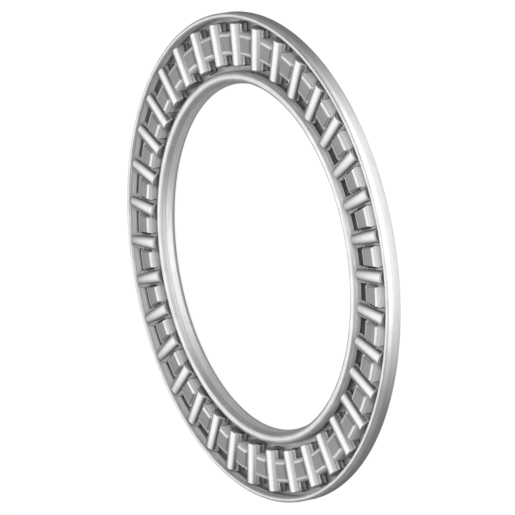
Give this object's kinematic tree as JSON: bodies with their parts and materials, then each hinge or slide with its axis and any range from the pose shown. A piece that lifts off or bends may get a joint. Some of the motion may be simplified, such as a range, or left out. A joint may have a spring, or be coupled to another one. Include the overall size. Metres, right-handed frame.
{
  "type": "thrust roller bearing",
  "caption": "Flat axial bearing ring: cylindrical rollers lie radially in the windows of a pressed steel cage with a folded outer rim, a rolled inner rim and an open bore for a shaft.",
  "frame": {"origin": "on the bearing's axis, in the plane that the rollers stand on", "axes": "+Z along the bearing's axis, out of the face with the raised rims and bars; +X through the middle of roller_01"},
  "size_m": [0.078, 0.078, 0.003],
  "materials": {
    "cage_steel": "satin pressed strip steel",
    "roller_steel": "bright, finely ground"
  },
  "bodies": {
    "cage": {"cage": "cage_steel"},
    "roller_01": {"roller_01": "roller_steel"},
    "roller_02": {"roller_02": "roller_steel"},
    "roller_03": {"roller_03": "roller_steel"},
    "roller_04": {"roller_04": "roller_steel"},
    "roller_05": {"roller_05": "roller_steel"},
    "roller_06": {"roller_06": "roller_steel"},
    "roller_07": {"roller_07": "roller_steel"},
    "roller_08": {"roller_08": "roller_steel"},
    "roller_09": {"roller_09": "roller_steel"},
    "roller_10": {"roller_10": "roller_steel"},
    "roller_11": {"roller_11": "roller_steel"},
    "roller_12": {"roller_12": "roller_steel"},
    "roller_13": {"roller_13": "roller_steel"},
    "roller_14": {"roller_14": "roller_steel"},
    "roller_15": {"roller_15": "roller_steel"},
    "roller_16": {"roller_16": "roller_steel"},
    "roller_17": {"roller_17": "roller_steel"},
    "roller_18": {"roller_18": "roller_steel"},
    "roller_19": {"roller_19": "roller_steel"},
    "roller_20": {"roller_20": "roller_steel"},
    "roller_21": {"roller_21": "roller_steel"},
    "roller_22": {"roller_22": "roller_steel"},
    "roller_23": {"roller_23": "roller_steel"},
    "roller_24": {"roller_24": "roller_steel"},
    "roller_25": {"roller_25": "roller_steel"},
    "roller_26": {"roller_26": "roller_steel"},
    "roller_27": {"roller_27": "roller_steel"},
    "roller_28": {"roller_28": "roller_steel"},
    "roller_29": {"roller_29": "roller_steel"},
    "roller_30": {"roller_30": "roller_steel"},
    "roller_31": {"roller_31": "roller_steel"},
    "roller_32": {"roller_32": "roller_steel"},
    "roller_33": {"roller_33": "roller_steel"},
    "roller_34": {"roller_34": "roller_steel"},
    "roller_35": {"roller_35": "roller_steel"},
    "roller_36": {"roller_36": "roller_steel"}
  },
  "joints": [
    {"name": "roller_01_spin", "type": "hinge", "parent": "cage", "child": "roller_01", "pos_m": [0.03405, 0, 0.0015], "axis": [1, 0, 0], "continuous": true},
    {"name": "roller_02_spin", "type": "hinge", "parent": "cage", "child": "roller_02", "pos_m": [0.03353, 0.00591, 0.0015], "axis": [0.9848, 0.1736, 0], "continuous": true},
    {"name": "roller_03_spin", "type": "hinge", "parent": "cage", "child": "roller_03", "pos_m": [0.032, 0.01165, 0.0015], "axis": [0.9397, 0.342, 0], "continuous": true},
    {"name": "roller_04_spin", "type": "hinge", "parent": "cage", "child": "roller_04", "pos_m": [0.02949, 0.01702, 0.0015], "axis": [0.866, 0.5, 0], "continuous": true},
    {"name": "roller_05_spin", "type": "hinge", "parent": "cage", "child": "roller_05", "pos_m": [0.02608, 0.02189, 0.0015], "axis": [0.766, 0.6428, 0], "continuous": true},
    {"name": "roller_06_spin", "type": "hinge", "parent": "cage", "child": "roller_06", "pos_m": [0.02189, 0.02608, 0.0015], "axis": [0.6428, 0.766, 0], "continuous": true},
    {"name": "roller_07_spin", "type": "hinge", "parent": "cage", "child": "roller_07", "pos_m": [0.01702, 0.02949, 0.0015], "axis": [0.5, 0.866, 0], "continuous": true},
    {"name": "roller_08_spin", "type": "hinge", "parent": "cage", "child": "roller_08", "pos_m": [0.01165, 0.032, 0.0015], "axis": [0.342, 0.9397, 0], "continuous": true},
    {"name": "roller_09_spin", "type": "hinge", "parent": "cage", "child": "roller_09", "pos_m": [0.00591, 0.03353, 0.0015], "axis": [0.1736, 0.9848, 0], "continuous": true},
    {"name": "roller_10_spin", "type": "hinge", "parent": "cage", "child": "roller_10", "pos_m": [0, 0.03405, 0.0015], "axis": [0, 1, 0], "continuous": true},
    {"name": "roller_11_spin", "type": "hinge", "parent": "cage", "child": "roller_11", "pos_m": [-0.00591, 0.03353, 0.0015], "axis": [-0.1736, 0.9848, 0], "continuous": true},
    {"name": "roller_12_spin", "type": "hinge", "parent": "cage", "child": "roller_12", "pos_m": [-0.01165, 0.032, 0.0015], "axis": [-0.342, 0.9397, 0], "continuous": true},
    {"name": "roller_13_spin", "type": "hinge", "parent": "cage", "child": "roller_13", "pos_m": [-0.01702, 0.02949, 0.0015], "axis": [-0.5, 0.866, 0], "continuous": true},
    {"name": "roller_14_spin", "type": "hinge", "parent": "cage", "child": "roller_14", "pos_m": [-0.02189, 0.02608, 0.0015], "axis": [-0.6428, 0.766, 0], "continuous": true},
    {"name": "roller_15_spin", "type": "hinge", "parent": "cage", "child": "roller_15", "pos_m": [-0.02608, 0.02189, 0.0015], "axis": [-0.766, 0.6428, 0], "continuous": true},
    {"name": "roller_16_spin", "type": "hinge", "parent": "cage", "child": "roller_16", "pos_m": [-0.02949, 0.01702, 0.0015], "axis": [-0.866, 0.5, 0], "continuous": true},
    {"name": "roller_17_spin", "type": "hinge", "parent": "cage", "child": "roller_17", "pos_m": [-0.032, 0.01165, 0.0015], "axis": [-0.9397, 0.342, 0], "continuous": true},
    {"name": "roller_18_spin", "type": "hinge", "parent": "cage", "child": "roller_18", "pos_m": [-0.03353, 0.00591, 0.0015], "axis": [-0.9848, 0.1736, 0], "continuous": true},
    {"name": "roller_19_spin", "type": "hinge", "parent": "cage", "child": "roller_19", "pos_m": [-0.03405, 0, 0.0015], "axis": [-1, 0, 0], "continuous": true},
    {"name": "roller_20_spin", "type": "hinge", "parent": "cage", "child": "roller_20", "pos_m": [-0.03353, -0.00591, 0.0015], "axis": [-0.9848, -0.1736, 0], "continuous": true},
    {"name": "roller_21_spin", "type": "hinge", "parent": "cage", "child": "roller_21", "pos_m": [-0.032, -0.01165, 0.0015], "axis": [-0.9397, -0.342, 0], "continuous": true},
    {"name": "roller_22_spin", "type": "hinge", "parent": "cage", "child": "roller_22", "pos_m": [-0.02949, -0.01702, 0.0015], "axis": [-0.866, -0.5, 0], "continuous": true},
    {"name": "roller_23_spin", "type": "hinge", "parent": "cage", "child": "roller_23", "pos_m": [-0.02608, -0.02189, 0.0015], "axis": [-0.766, -0.6428, 0], "continuous": true},
    {"name": "roller_24_spin", "type": "hinge", "parent": "cage", "child": "roller_24", "pos_m": [-0.02189, -0.02608, 0.0015], "axis": [-0.6428, -0.766, 0], "continuous": true},
    {"name": "roller_25_spin", "type": "hinge", "parent": "cage", "child": "roller_25", "pos_m": [-0.01702, -0.02949, 0.0015], "axis": [-0.5, -0.866, 0], "continuous": true},
    {"name": "roller_26_spin", "type": "hinge", "parent": "cage", "child": "roller_26", "pos_m": [-0.01165, -0.032, 0.0015], "axis": [-0.342, -0.9397, 0], "continuous": true},
    {"name": "roller_27_spin", "type": "hinge", "parent": "cage", "child": "roller_27", "pos_m": [-0.00591, -0.03353, 0.0015], "axis": [-0.1736, -0.9848, 0], "continuous": true},
    {"name": "roller_28_spin", "type": "hinge", "parent": "cage", "child": "roller_28", "pos_m": [0, -0.03405, 0.0015], "axis": [0, -1, 0], "continuous": true},
    {"name": "roller_29_spin", "type": "hinge", "parent": "cage", "child": "roller_29", "pos_m": [0.00591, -0.03353, 0.0015], "axis": [0.1736, -0.9848, 0], "continuous": true},
    {"name": "roller_30_spin", "type": "hinge", "parent": "cage", "child": "roller_30", "pos_m": [0.01165, -0.032, 0.0015], "axis": [0.342, -0.9397, 0], "continuous": true},
    {"name": "roller_31_spin", "type": "hinge", "parent": "cage", "child": "roller_31", "pos_m": [0.01702, -0.02949, 0.0015], "axis": [0.5, -0.866, 0], "continuous": true},
    {"name": "roller_32_spin", "type": "hinge", "parent": "cage", "child": "roller_32", "pos_m": [0.02189, -0.02608, 0.0015], "axis": [0.6428, -0.766, 0], "continuous": true},
    {"name": "roller_33_spin", "type": "hinge", "parent": "cage", "child": "roller_33", "pos_m": [0.02608, -0.02189, 0.0015], "axis": [0.766, -0.6428, 0], "continuous": true},
    {"name": "roller_34_spin", "type": "hinge", "parent": "cage", "child": "roller_34", "pos_m": [0.02949, -0.01702, 0.0015], "axis": [0.866, -0.5, 0], "continuous": true},
    {"name": "roller_35_spin", "type": "hinge", "parent": "cage", "child": "roller_35", "pos_m": [0.032, -0.01165, 0.0015], "axis": [0.9397, -0.342, 0], "continuous": true},
    {"name": "roller_36_spin", "type": "hinge", "parent": "cage", "child": "roller_36", "pos_m": [0.03353, -0.00591, 0.0015], "axis": [0.9848, -0.1736, 0], "continuous": true}
  ]
}
